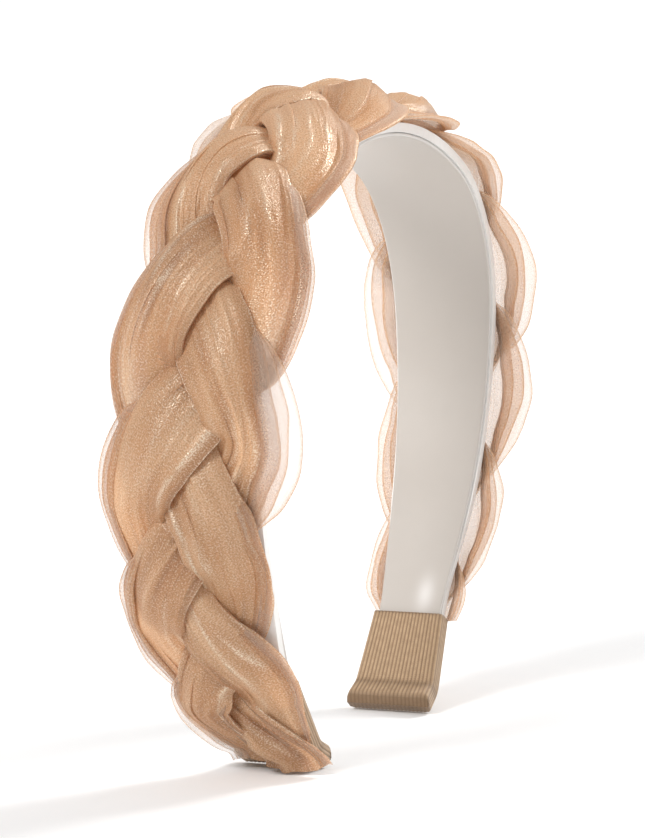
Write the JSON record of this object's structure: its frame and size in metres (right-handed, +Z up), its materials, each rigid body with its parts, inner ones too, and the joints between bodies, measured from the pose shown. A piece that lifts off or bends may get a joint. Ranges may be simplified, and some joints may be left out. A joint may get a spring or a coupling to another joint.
{
  "type": "braided headband",
  "caption": "Stiff C-shaped headband covered by a three-strand braid of sheer shimmering fabric, satin inside, ribbed ribbon folded over both tips.",
  "frame": {"origin": "floor level midway between the two tips, under the middle of the braid", "axes": "+Z up to the top of the head, +X towards the wearer's left ear, +Y towards the back of the head"},
  "size_m": [0.1577, 0.0468, 0.1432],
  "materials": {
    "band_core": "matt, white",
    "satin": "silver grey satin with a soft sheen",
    "organza": "sheer champagne organza, shimmering",
    "grosgrain": "khaki ribbed ribbon"
  },
  "bodies": {
    "root": {"band": "band_core", "satin_lining": "satin", "strand_back": "organza", "strand_middle": "organza", "strand_front": "organza", "tip_wrap_left": "grosgrain", "tip_wrap_right": "grosgrain"}
  },
  "joints": []
}
